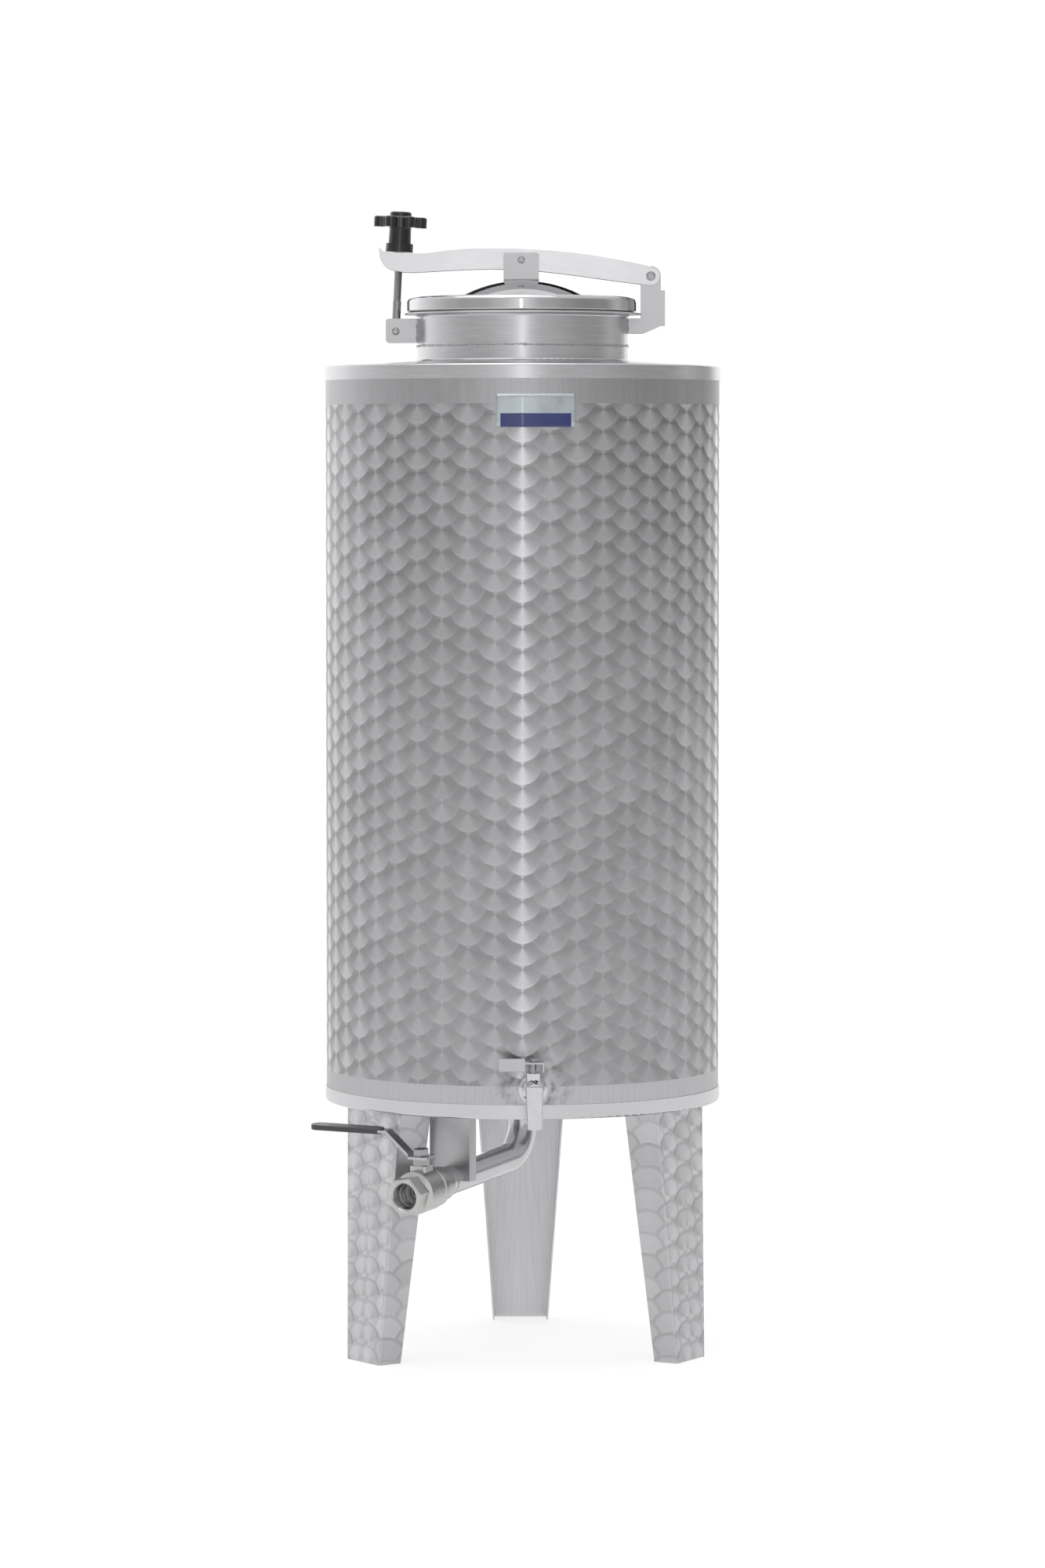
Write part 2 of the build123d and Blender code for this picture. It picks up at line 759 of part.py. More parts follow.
# Drain nipple: threaded stub butt-welded to the pipe and screwed into the valve
nipple_start = pipe_end - run_to_ball
nipple_step = -valve_half - 1.0
nipple_stop = -valve_half + thread_length - 1.0
with BuildPart() as drain_nipple:
    with BuildSketch(valve_plane):
        with BuildLine():
            Polyline(
                (nipple_start, bore_radius),
                (nipple_start, pipe_radius),
                (nipple_step, pipe_radius),
                (nipple_step, nipple_radius),
                (nipple_stop, nipple_radius),
                (nipple_stop, bore_radius),
                close=True,
            )
        make_face()
    revolve(axis=valve_axis)
write(drain_nipple, "drain_nipple")

# Pipe support: strip from the dish to the pipe with one edge folded for stiffness
support_point = elbow + flow * support_x
support_plane = Plane(origin=support_point, x_dir=(-side.X, -side.Y, 0), z_dir=(0, 0, 1))
flange_place = ((support_width - support_wall) / 2, support_flange / 2)
with BuildPart() as pipe_support:
    with BuildSketch(support_plane):
        Rectangle(support_width, support_wall)
        with Locations(flange_place):
            Rectangle(support_wall, support_flange)
    extrude(amount=tank_bottom + bottom_fall - support_point.Z)
    with BuildSketch(Plane.XZ):
        with BuildLine():
            Polyline(
                (0, cone_under(0)),
                (band_outer, cone_under(band_outer)),
                (band_outer, tank_bottom + 2 * bottom_fall),
                (0, tank_bottom + 2 * bottom_fall),
                close=True,
            )
        make_face()
    revolve(axis=Axis.Z, mode=Mode.SUBTRACT)
    with BuildSketch(Plane(origin=elbow, z_dir=flow)):
        Circle(pipe_radius + seam_gap)
    extrude(amount=run_to_ball, mode=Mode.SUBTRACT)
write(pipe_support, "pipe_support")

# Valve body: hexagonal female outlet, round body, square bonnet for the stem
hex_start = valve_half - hex_length
seat_face = sqrt(ball_radius ** 2 - bore_radius ** 2)
cavity_radius = ball_radius + cavity_play
cavity_half = seat_face + seat_width
with BuildPart() as valve_body:
    with BuildSketch(valve_plane):
        with BuildLine():
            Polyline(
                (joint_x, 0),
                (joint_x, body_radius - edge_break),
                (joint_x + edge_break, body_radius),
                (hex_start - body_shoulder, body_radius),
                (hex_start, hex_flats / 2 - 1.0),
                (hex_start, 0),
                close=True,
            )
        make_face()
    revolve(axis=valve_axis)
    with BuildSketch(Plane(origin=ball_centre + flow * hex_start, x_dir=side, z_dir=flow)):
        RegularPolygon(hex_flats / 2, 6, major_radius=False, rotation=hex_turn)
    extrude(amount=hex_length)
    outlet_edges = valve_body.faces().sort_by(valve_axis)[-1].edges()
    chamfer(outlet_edges, length=edge_break)
    with BuildSketch(stem_base):
        RectangleRounded(2 * bonnet_half, 2 * bonnet_half, bonnet_corner)
    extrude(amount=bonnet_top)
    with BuildSketch(valve_plane):
        with BuildLine():
            Polyline(
                (joint_x - 1, 0),
                (joint_x - 1, cavity_radius),
                (cavity_half, cavity_radius),
                (cavity_half, bore_radius),
                (valve_half - thread_length, bore_radius),
                (valve_half - thread_length, thread_radius),
                (valve_half - edge_break, thread_radius),
                (valve_half + 1, thread_radius + edge_break + 1),
                (valve_half + 1, 0),
                close=True,
            )
        make_face()
    revolve(axis=valve_axis, mode=Mode.SUBTRACT)
    with BuildSketch(stem_base):
        Circle(stem_radius + pin_play)
    extrude(amount=bonnet_top + 1, mode=Mode.SUBTRACT)
write(valve_body, "valve_body")

# Valve end: screwed-in inlet piece with its ring shoulder and hexagonal end
with BuildPart() as valve_end:
    with BuildSketch(valve_plane):
        with BuildLine():
            Polyline(
                (-cavity_half, bore_radius),
                (-cavity_half, cavity_radius - seam_gap),
                (joint_x, cavity_radius - seam_gap),
                (joint_x, body_radius - 2.5),
                (joint_x - 2.0, body_radius - 2.5),
                (joint_x - 3.0, body_radius - 1.0),
                (joint_x - 10.0, body_radius - 1.0),
                (joint_x - 12.0, hex_flats / 2),
                (-valve_half + 1.0, hex_flats / 2),
                (-valve_half, hex_flats / 2 - 1.0),
                (-valve_half, thread_radius),
                (-valve_half + thread_length, thread_radius),
                (-valve_half + thread_length, bore_radius),
                close=True,
            )
        make_face()
    revolve(axis=valve_axis)
write(valve_end, "valve_end")

# Valve ball: bored sphere, closed at rest, so its bore lies along the side direction
with BuildPart() as valve_ball:
    with BuildSketch(Plane(origin=ball_centre, x_dir=flow, z_dir=side)):
        with BuildLine():
            CenterArc((0, 0), ball_radius, 0, 180)
            Line((-ball_radius, 0), (ball_radius, 0))
        make_face()
    revolve(axis=valve_axis)
    with BuildSketch(Plane(origin=ball_centre, x_dir=flow, z_dir=side)):
        Circle(bore_radius - cavity_play)
    extrude(amount=ball_radius + 1, both=True, mode=Mode.SUBTRACT)
    with BuildSketch(stem_base.offset(ball_radius - tang_depth)):
        Rectangle(2 * ball_radius, 2 * tang_half + 2 * pin_play)
    extrude(amount=tang_depth + 1, mode=Mode.SUBTRACT)
write(valve_ball, "valve_ball")

# Valve seats: two rings dished to the ball
with BuildPart() as valve_seats:
    with BuildSketch(valve_plane):
        for end in (-1, 1):
            with Locations((end * (seat_face + seat_width / 2), (bore_radius + cavity_radius) / 2)):
                Rectangle(seat_width, cavity_radius - bore_radius - 2 * seam_gap)
        Circle(ball_radius + seat_play, mode=Mode.SUBTRACT)
    revolve(axis=valve_axis)
write(valve_seats, "valve_seats")

# Valve stem: tang in the ball, round neck through the bonnet, flats under the lever
with BuildPart() as valve_stem:
    with BuildSketch(stem_base.offset(ball_radius + stem_gap)):
        Circle(stem_radius)
    extrude(amount=stem_height - ball_radius - stem_gap)
    with BuildSketch(stem_base.offset(ball_radius - tang_depth + stem_gap)):
        Rectangle(2 * stem_radius - 1.0, 2 * tang_half)
    extrude(amount=tang_depth)
write(valve_stem, "valve_stem")

# Gland nut: ring that presses the packing, carried on the bonnet
with BuildPart() as gland_nut:
    with BuildSketch(stem_base.offset(bonnet_top)):
        RegularPolygon(gland_flat, 6, major_radius=False)
        Circle(stem_radius + pin_play, mode=Mode.SUBTRACT)
    extrude(amount=lever_height - bonnet_top - stem_gap)
write(gland_nut, "gland_nut")

# Valve lever: strip held under the nut, cranked up to clear the body, rounded at the end
with BuildPart() as valve_lever:
    with BuildSketch(lever_side):
        with BuildLine():
            low = FilletPolyline(
                (-lever_tail, lever_height),
                (crank_start, lever_height),
                (crank_end, lever_raise),
                (lever_length, lever_raise),
                radius=lever_bend,
            )
            high = FilletPolyline(
                (lever_length, lever_raise + lever_wall),
                (crank_end - crank_skew, lever_raise + lever_wall),
                (crank_start - crank_skew, lever_height + lever_wall),
                (-lever_tail, lever_height + lever_wall),
                radius=lever_bend,
            )
            Line(low @ 1, high @ 0)
            Line(high @ 1, low @ 0)
        make_face()
    extrude(amount=lever_width, both=True)
    with BuildSketch(stem_base):
        RectangleRounded(lever_pad, lever_pad_width, lever_trim)
        with Locations(((crank_start + crank_end) / 2, 0)):
            Rectangle(crank_end - crank_start + 2 * stem_radius, lever_neck)
        with Locations(((crank_end + lever_length) / 2, 0)):
            SlotOverall(lever_length - crank_end + 2 * lever_trim, lever_width - lever_trim)
    extrude(amount=2 * lever_raise, mode=Mode.INTERSECT)
    with BuildSketch(stem_base):
        Circle(stem_radius)
    extrude(amount=lever_raise, mode=Mode.SUBTRACT)
write(valve_lever, "valve_lever")

# Lever sleeve: moulded grip that slips over the strip
with BuildPart() as lever_sleeve:
    with BuildSketch(stem_base.offset(lever_raise - sleeve_wall)):
        with Locations(((sleeve_start + lever_length + sleeve_wall + sleeve_end) / 2, 0)):
            SlotOverall(lever_length + sleeve_wall + sleeve_end - sleeve_start, lever_width)
    extrude(amount=lever_wall + 2 * sleeve_wall)
    chamfer(lever_sleeve.faces().sort_by(stem_axis)[-1].edges(), length=sleeve_edge)
    chamfer(lever_sleeve.faces().sort_by(stem_axis)[0].edges(), length=sleeve_edge)
    with BuildSketch(stem_base.offset(lever_raise)):
        with Locations(((crank_end + lever_length) / 2, 0)):
            SlotOverall(lever_length - crank_end + 2 * lever_trim, lever_width - lever_trim)
    extrude(amount=lever_wall, mode=Mode.SUBTRACT)
write(lever_sleeve, "lever_sleeve")

# Lever nut: holds the lever down on the stem
with BuildPart() as lever_nut:
    with BuildSketch(stem_base.offset(lever_height + lever_wall)):
        RegularPolygon(lever_nut_flat, 6, major_radius=False)
        Circle(stem_radius, mode=Mode.SUBTRACT)
    extrude(amount=lever_nut_height)
write(lever_nut, "lever_nut")

# Sampling tap frame: out is radial, up is Z
tap_turn = radians(tap_azimuth)
tap_out = Vector(cos(tap_turn), sin(tap_turn), 0)
tap_ball_at = tap_out * (shell_radius + tap_stem_out) + Vector(0, 0, tap_height)
tap_plane = Plane(origin=tap_ball_at, x_dir=tap_out, z_dir=tap_out.cross(Vector(0, 0, 1)))
tap_axis = Axis(tap_ball_at, tap_out)
tap_stem_plane = Plane(origin=tap_ball_at, x_dir=tap_out, z_dir=(0, 0, 1))
spout_x = tap_reach - tap_stem_out
socket_start = -tap_stem_out - socket_inside
tap_cavity = tap_ball_radius + tap_cavity_play
tap_cavity_half = tap_ball_radius + 3.0
barrel_radius = tap_radius + 1.0
collar_radius = tap_radius + tap_collar_rise
neck_in = tap_radius - 2.0

# Tap socket: threaded boss welded through the shell
with BuildPart() as tap_socket:
    with BuildSketch(tap_plane):
        with BuildLine():
            Polyline(
                (socket_start, tap_spigot),
                (socket_start, tap_radius),
                (socket_end, tap_radius),
                (socket_end, tap_spigot),
                close=True,
            )
        make_face()
    revolve(axis=tap_axis)
write(tap_socket, "tap_socket")

# Tap body: round barrel with a collar, bonnet on top and the spout turned down at its end
with BuildPart() as tap_body:
    with BuildSketch(tap_plane):
        with BuildLine():
            Polyline(
                (tap_spigot_start, 0),
                (tap_spigot_start, tap_spigot - seam_gap),
                (tap_collar_start, tap_spigot - seam_gap),
                (tap_collar_start, collar_radius - 1.0),
                (tap_collar_start + 1.0, collar_radius),
                (tap_collar_end - 1.0, collar_radius),
                (tap_collar_end, barrel_radius),
                (tap_barrel_end, barrel_radius),
                (tap_barrel_end + 4.0, neck_in),
                (spout_x, neck_in),
                (spout_x, 0),
                close=True,
            )
        make_face()
    revolve(axis=tap_axis)
    with BuildSketch(tap_stem_plane.offset(-spout_drop)):
        with Locations((spout_x, 0)):
            Circle(spout_tip_radius)
    with BuildSketch(tap_stem_plane.offset(spout_rise)):
        with Locations((spout_x, 0)):
            Circle(spout_radius)
    loft()
    with BuildSketch(tap_stem_plane):
        Circle(tap_bonnet_radius)
    extrude(amount=tap_bonnet_top)
    with BuildSketch(tap_plane):
        with BuildLine():
            Polyline(
                (tap_spigot_start - 1.0, 0),
                (tap_spigot_start - 1.0, tap_bore),
                (-tap_cavity_half, tap_bore),
                (-tap_cavity_half, tap_cavity),
                (tap_cavity_half, tap_cavity),
                (tap_cavity_half, tap_bore),
                (spout_x, tap_bore),
                (spout_x, 0),
                close=True,
            )
        make_face()
    revolve(axis=tap_axis, mode=Mode.SUBTRACT)
    with BuildSketch(tap_stem_plane.offset(-spout_drop - 1.0)):
        with Locations((spout_x, 0)):
            Circle(spout_bore)
    extrude(amount=spout_drop + 1.0, mode=Mode.SUBTRACT)
    with BuildSketch(tap_stem_plane):
        Circle(tap_stem_radius + pin_play)
    extrude(amount=tap_bonnet_top + 1.0, mode=Mode.SUBTRACT)
write(tap_body, "tap_body")

# Tap ball, closed at rest
with BuildPart() as tap_ball:
    with BuildSketch(tap_plane):
        with BuildLine():
            CenterArc((0, 0), tap_ball_radius, 0, 180)
            Line((-tap_ball_radius, 0), (tap_ball_radius, 0))
        make_face()
    revolve(axis=tap_axis)
    with BuildSketch(tap_plane):
        Circle(tap_bore - tap_cavity_play)
    extrude(amount=tap_ball_radius + 1, both=True, mode=Mode.SUBTRACT)
    with BuildSketch(tap_stem_plane.offset(tap_ball_radius - tap_tang)):
        Rectangle(2 * (tap_tang_half + pin_play), 2 * tap_ball_radius)
    extrude(amount=2 * tap_tang, mode=Mode.SUBTRACT)
write(tap_ball, "tap_ball")

# Tap seats
with BuildPart() as tap_seats:
    with BuildSketch(tap_plane):
        for end in (-1, 1):
            with Locations((end * (tap_ball_radius + 0.9), (tap_bore + tap_cavity) / 2)):
                Rectangle(tap_seat_width, tap_cavity - tap_bore - 2 * seam_gap)
        Circle(tap_ball_radius + seat_play, mode=Mode.SUBTRACT)
    revolve(axis=tap_axis)
write(tap_seats, "tap_seats")

# Tap stem
with BuildPart() as tap_stem:
    with BuildSketch(tap_stem_plane.offset(tap_ball_radius + stem_gap)):
        Circle(tap_stem_radius)
    extrude(amount=tap_lever_height + 6.0 - tap_ball_radius - stem_gap)
    with BuildSketch(tap_stem_plane.offset(tap_ball_radius - tap_tang + stem_gap)):
        Rectangle(2 * tap_tang_half, 2 * tap_stem_radius - 1.0)
    extrude(amount=tap_tang)
write(tap_stem, "tap_stem")

# Tap lever: small plate on the stem with a side folded down and a blade that stands to the left
with BuildPart() as tap_lever:
    with BuildSketch(tap_stem_plane.offset(tap_lever_height)):
        Rectangle(2 * tap_lever_half - 4.0, 2 * tap_lever_half + 2.0)
    extrude(amount=tap_lever_wall)
    with BuildSketch(tap_stem_plane.offset(tap_lever_height - tap_lever_fold)):
        with Locations((0, tap_lever_half)):
            Rectangle(2 * tap_lever_half - 4.0, tap_lever_wall)
    extrude(amount=tap_lever_fold)
    with BuildSketch(tap_stem_plane.offset(tap_lever_height - blade_low)):
        with Locations((tap_lever_half - 3.0, -(blade_reach + tap_lever_half) / 2)):
            Rectangle(tap_lever_wall, blade_reach - tap_lever_half + 2.0)
    extrude(amount=blade_height)
    with BuildSketch(tap_stem_plane.offset(tap_lever_height - 1.0)):
        Circle(tap_stem_radius)
    extrude(amount=2 * tap_lever_wall, mode=Mode.SUBTRACT)
write(tap_lever, "tap_lever")

# Tap nut
with BuildPart() as tap_nut:
    with BuildSketch(tap_stem_plane.offset(tap_lever_height + tap_lever_wall)):
        RegularPolygon(tap_nut_flat, 6, major_radius=False)
        Circle(tap_stem_radius, mode=Mode.SUBTRACT)
    extrude(amount=tap_nut_height)
write(tap_nut, "tap_nut")
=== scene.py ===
"""Stainless wine storage tank: finishes, welds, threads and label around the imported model."""

import json

import bpy
import numpy as np
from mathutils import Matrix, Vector


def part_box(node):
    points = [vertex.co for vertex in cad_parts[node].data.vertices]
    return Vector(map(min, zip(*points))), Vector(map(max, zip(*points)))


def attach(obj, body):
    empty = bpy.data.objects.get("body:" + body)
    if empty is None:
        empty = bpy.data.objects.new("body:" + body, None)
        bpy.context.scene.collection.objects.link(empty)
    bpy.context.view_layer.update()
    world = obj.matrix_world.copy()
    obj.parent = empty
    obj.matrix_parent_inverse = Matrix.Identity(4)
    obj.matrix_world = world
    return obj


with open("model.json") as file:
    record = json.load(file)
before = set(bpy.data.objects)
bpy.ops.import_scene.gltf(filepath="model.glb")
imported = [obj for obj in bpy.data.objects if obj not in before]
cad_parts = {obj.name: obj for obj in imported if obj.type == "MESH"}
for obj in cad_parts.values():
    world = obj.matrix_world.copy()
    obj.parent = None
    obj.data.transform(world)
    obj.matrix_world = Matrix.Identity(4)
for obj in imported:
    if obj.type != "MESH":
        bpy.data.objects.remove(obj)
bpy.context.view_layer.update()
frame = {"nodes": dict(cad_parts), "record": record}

MM = 0.001
TAU = 2 * np.pi

# Real sizes of the object, in metres, as the model has them.
SHELL_RADIUS = 234.0 * MM
BAND_HEIGHT = 17.0 * MM
TANK_BOTTOM = 297.8 * MM
TANK_TOP = 1170.0 * MM
NECK_RADIUS = 125.5 * MM
NECK_WELD_Z = 1194.0 * MM
NECK_TOP = 1232.9 * MM
LEG_AZIMUTHS = {"leg_front_right": -30.5, "leg_rear": 90.7, "leg_front_left": 215.5}
LEG_TOP_RADIUS = 216.0 * MM
LEG_TOP_WIDTH = 110.0 * MM
LEG_TOP_DEPTH = 45.0 * MM

# Circle polishing: pitch between columns, pitch between rows and the pad's radius.
PAD_ROW = 26.2 * MM
PAD_RADIUS = 22.0 * MM
PAD_COLUMNS = 46
PAD_COLUMN = TAU * SHELL_RADIUS / PAD_COLUMNS
PATTERN_TOP = 1124.0 * MM
PATTERN_BOTTOM = 336.0 * MM
COLUMN_START = np.radians(90) * SHELL_RADIUS

# Sampling tap's boss, clamp brackets, bolt and drain, as the model has them.
TAP_AZIMUTH = -87.3
TAP_HEIGHT = 335.0 * MM
TAP_BOSS_RADIUS = 12.8 * MM
BRACKET_WELDS = {"clevis_bracket": (-1, 9.4 * MM), "hinge_bracket": (1, 12.1 * MM)}
CLEVIS_PIN = np.array((-150.5, 0.0, 1211.6)) * MM
BOLT_LEAN = np.radians(2.6)
SHANK_LENGTH = 36.0 * MM
BOLT_REACH = 91.4 * MM
BOLT_CORE = 4.2 * MM
BOLT_THREAD_DEPTH = 0.78 * MM
BOLT_PITCH = 1.5 * MM
DRAIN_AZIMUTH = np.radians(240.0)
DRAIN_SLOPE = np.radians(4.7)
ELBOW_HEIGHT = 230.8 * MM
BALL_DISTANCE = 232.0 * MM
VALVE_HALF = 42.5 * MM
NIPPLE_BARE = 12.0 * MM
PIPE_RADIUS = 16.85 * MM
OUTLET_RADIUS = 15.2 * MM
OUTLET_THREAD_LENGTH = 16.0 * MM
OUTLET_THREAD_DEPTH = 1.0 * MM
OUTLET_PITCH = 2.309 * MM
FLOW = np.array((
    np.cos(DRAIN_AZIMUTH) * np.cos(DRAIN_SLOPE), np.sin(DRAIN_AZIMUTH) * np.cos(DRAIN_SLOPE), -np.sin(DRAIN_SLOPE)
))
ELBOW = np.array((0.0, 0.0, ELBOW_HEIGHT))
BALL = ELBOW + FLOW * BALL_DISTANCE / np.cos(DRAIN_SLOPE)

# Camera, worked out from the shell's width and the ellipses of its two rims.
CAMERA_DISTANCE = 6.8
CAMERA_HEIGHT = 1.05
CAMERA_FOCAL_PX = 7283.0
CAMERA_PITCH = np.radians(3.17)
IMAGE_HEIGHT_PX = 2000.0
SENSOR_WIDTH = 36.0


def linear(code):
    """sRGB hex value as linear RGBA: c/12.92 below 0.04045, else ((c + 0.055)/1.055)^2.4."""
    raw = np.array([int(code[i : i + 2], 16) for i in (1, 3, 5)]) / 255
    low = raw / 12.92
    high = ((raw + 0.055) / 1.055) ** 2.4
    return (*np.where(raw <= 0.04045, low, high).tolist(), 1.0)


def new_material(name):
    """Empty node material; returns it with its tree, its shader node and a function that adds a node."""
    material = bpy.data.materials.new(name)
    material.use_nodes = True
    tree = material.node_tree
    shader = tree.nodes["Principled BSDF"]

    def add(kind, inputs=(), **settings):
        """Add a node, set its settings, then link or set its inputs by name or number."""
        node = tree.nodes.new(kind)
        for key, value in settings.items():
            setattr(node, key, value)
        for key, value in dict(inputs).items():
            if isinstance(value, bpy.types.NodeSocket):
                tree.links.new(value, node.inputs[key])
            else:
                node.inputs[key].default_value = value
        return node

    return material, tree, shader, add


def calculator(add):
    """Function that adds one Math node and returns its result."""

    def calc(operation, *values):
        return add("ShaderNodeMath", dict(enumerate(values)), operation=operation).outputs[0]

    return calc


def mapped(add, value, low, high, to_low, to_high):
    """Value in low..high mapped to to_low..to_high and clamped."""
    node = add(
        "ShaderNodeMapRange", {0: value, 1: low, 2: high, 3: to_low, 4: to_high}, clamp=True
    )
    return node.outputs[0]


def tinted(add, base, factor):
    """Colour multiplied by a grey factor."""
    node = add("ShaderNodeVectorMath", {0: base[:3], "Scale": factor}, operation="SCALE")
    return node.outputs[0]


def steel(name, colour, roughness, spread=0.06, stretch=(1, 1, 1), size=40.0, anisotropy=0.0, bump=0.0):
    """Plain stainless finish.

    Noise stretched along the brushing changes the roughness by spread and the colour a little, as drawn,
    brushed or tumbled steel scatters light unevenly. Bump gives the scratches some depth.
    """
    material, tree, shader, add = new_material(name)
    place = add("ShaderNodeTexCoord").outputs["Object"]
    scaled = add("ShaderNodeMapping", {0: place, 3: stretch}).outputs[0]
    grain = add("ShaderNodeTexNoise", {0: scaled, 2: size, 3: 6.0, 4: 0.6}).outputs[0]
    blotch = add("ShaderNodeTexNoise", {0: place, 2: 14.0, 3: 3.0, 4: 0.5}).outputs[0]
    calc = calculator(add)
    both = calc("ADD", calc("MULTIPLY", grain, 0.6), calc("MULTIPLY", blotch, 0.4))
    tree.links.new(mapped(add, both, 0.3, 0.7, roughness - spread, roughness + spread), shader.inputs["Roughness"])
    tree.links.new(
        tinted(add, linear(colour), mapped(add, both, 0.3, 0.7, 0.92, 1.06)), shader.inputs["Base Color"]
    )
    if bump:
        rise = add("ShaderNodeBump", {"Strength": bump, "Distance": 0.0004, "Height": grain}).outputs[0]
        tree.links.new(rise, shader.inputs["Normal"])
    shader.inputs["Metallic"].default_value = 1.0
    shader.inputs["Anisotropic"].default_value = anisotropy
    return material


def circle_polish(
    name, colour, along, column, row, radius, flip=1.0, low=-1.0, high=9.0, painted_fan_shade=0.3, painted_rim_light_shade=0.04, rough=0.27,
    mark=None,
):
    """Stainless sheet ground with a round pad, disc over disc, as the scales of a fish.

    along(add, calc, x, y, z) gives the distance along the sheet, the sheet's unit direction there and a mask
    that is 1 on the ground side. In each of the two nearest columns the topmost disc that covers the point has
    its centre at floor((z + h)/row) * row, where h = sqrt(radius^2 - offset^2); the higher of the two discs
    lies on top. Its grooves run round that centre, so the reflection spreads along the line from the centre,
    which is the shader's tangent. Beside the vertical the disc's colour darkens with the sine of the angle, by
    painted_fan_shade: a painted shade that puts the bright middle wedge and dark flanks of the disc's reflection
    into its colour. Along its border the colour is changed by painted_rim_light_shade, a painted highlight when
    positive and a painted dark line of shade when negative.
    """
    material, tree, shader, add = new_material(name)
    calc = calculator(add)
    split = add("ShaderNodeSeparateXYZ", {0: add("ShaderNodeTexCoord").outputs["Object"]})
    x, y, height = split.outputs
    wobble = add("ShaderNodeTexNoise", {2: 9.0, 3: 2.0}).outputs[0]
    distance, direction, ground = along(add, calc, x, y, height)
    z = calc("MULTIPLY", height, flip)
    z = calc("ADD", z, calc("MULTIPLY", calc("SUBTRACT", wobble, 0.5), 0.005))
    u = calc("DIVIDE", distance, column)
    near = calc("ROUND", u)
    side = calc("SIGN", calc("SUBTRACT", u, near))
    picks = []
    for number in (near, calc("ADD", near, side)):
        offset = calc("MULTIPLY", calc("SUBTRACT", u, number), column)
        squared = calc("SUBTRACT", radius * radius, calc("MULTIPLY", offset, offset))
        reach = calc("SQRT", calc("MAXIMUM", squared, 0.0))
        parity = calc("MULTIPLY", calc("PINGPONG", number, 1.0), row / 2)
        jitter = calc("MULTIPLY", calc("SINE", calc("MULTIPLY", number, 12.9898)), row * 0.16)
        shift = calc("ADD", parity, jitter)
        step = calc("FLOOR", calc("DIVIDE", calc("SUBTRACT", calc("ADD", z, reach), shift), row))
        centre = calc("ADD", calc("MULTIPLY", step, row), shift)
        drop = calc("SUBTRACT", z, centre)
        missed = calc("GREATER_THAN", calc("ABSOLUTE", drop), reach)
        picks.append((offset, drop, calc("SUBTRACT", centre, calc("MULTIPLY", missed, 10.0)), number, step))
    first, second = picks
    top = calc("GREATER_THAN", second[2], first[2])

    def chosen(place):
        return calc("ADD", first[place], calc("MULTIPLY", top, calc("SUBTRACT", second[place], first[place])))

    offset, drop = chosen(0), chosen(1)
    seed = add("ShaderNodeCombineXYZ", {0: chosen(3), 1: chosen(4)}).outputs[0]
    chance = add("ShaderNodeTexWhiteNoise", {0: seed}, noise_dimensions="3D").outputs[0]
    away = calc("SQRT", calc("ADD", calc("MULTIPLY", offset, offset), calc("MULTIPLY", drop, drop)))
    share = calc("DIVIDE", away, radius)
    ring_seed = add("ShaderNodeCombineXYZ", {0: calc("MULTIPLY", share, 46.0), 1: calc("MULTIPLY", chance, 50.0)})
    rings = add("ShaderNodeTexNoise", {0: ring_seed.outputs[0], 2: 1.0, 3: 4.0, 4: 0.8}).outputs[0]
    inside = calc("MULTIPLY", calc("GREATER_THAN", height, low), calc("LESS_THAN", height, high))
    pattern = calc("MULTIPLY", inside, ground)
    # Mask of each disc's outer border, which carries the painted border light.
    painted_rim_mask = mapped(add, share, 0.78, 0.88, 0.0, 1.0)
    sine = calc("DIVIDE", calc("ABSOLUTE", offset), calc("MAXIMUM", away, 0.0005))
    shade = calc("ADD", 1.0, calc("MULTIPLY", 0.13, calc("SUBTRACT", chance, 0.5)))
    shade = calc("ADD", shade, calc("MULTIPLY", 0.34, calc("SUBTRACT", rings, 0.5)))
    # Painted highlight along each disc's border; a negative factor paints a dark shade line there instead.
    shade = calc("ADD", shade, calc("MULTIPLY", painted_rim_mask, painted_rim_light_shade))
    # Painted shade on each disc's flanks beside the vertical, standing in for the dark sides of its reflection.
    shade = calc("SUBTRACT", shade, calc("MULTIPLY", mapped(add, sine, 0.35, 1.0, 0.0, 1.0), painted_fan_shade))
    brushed = add("ShaderNodeCombineXYZ", {0: calc("MULTIPLY", distance, 900.0), 1: calc("MULTIPLY", height, 26.0)})
    streaks = add("ShaderNodeTexNoise", {0: brushed.outputs[0], 2: 0.35, 3: 5.0, 4: 0.75}).outputs[0]
    plain = calc("ADD", 1.05, calc("MULTIPLY", 0.5, calc("SUBTRACT", streaks, 0.5)))
    blend = calc("ADD", calc("MULTIPLY", pattern, calc("SUBTRACT", shade, plain)), plain)
    if mark:
        blend = calc("MULTIPLY", blend, mark(add, calc, distance, height))
    tree.links.new(tinted(add, linear(colour), blend), shader.inputs["Base Color"])
    roughness = calc("ADD", rough, calc("MULTIPLY", 0.16, calc("SUBTRACT", rings, 0.5)))
    tree.links.new(roughness, shader.inputs["Roughness"])
    across = calc("ADD", calc("MULTIPLY", offset, pattern), calc("MULTIPLY", calc("SUBTRACT", 1.0, pattern), radius))
    sideways = add("ShaderNodeVectorMath", {0: direction, "Scale": across}, operation="SCALE").outputs[0]
    upright = calc("MULTIPLY", calc("MULTIPLY", drop, flip), pattern)
    vertical = add("ShaderNodeCombineXYZ", {2: upright}).outputs[0]
    joined = add("ShaderNodeVectorMath", {0: sideways, 1: vertical}, operation="ADD").outputs[0]
    tangent = add("ShaderNodeVectorMath", {0: joined}, operation="NORMALIZE").outputs[0]
    tree.links.new(tangent, shader.inputs["Tangent"])
    shader.inputs["Metallic"].default_value = 1.0
    shader.inputs["Anisotropic"].default_value = 0.93
    return material


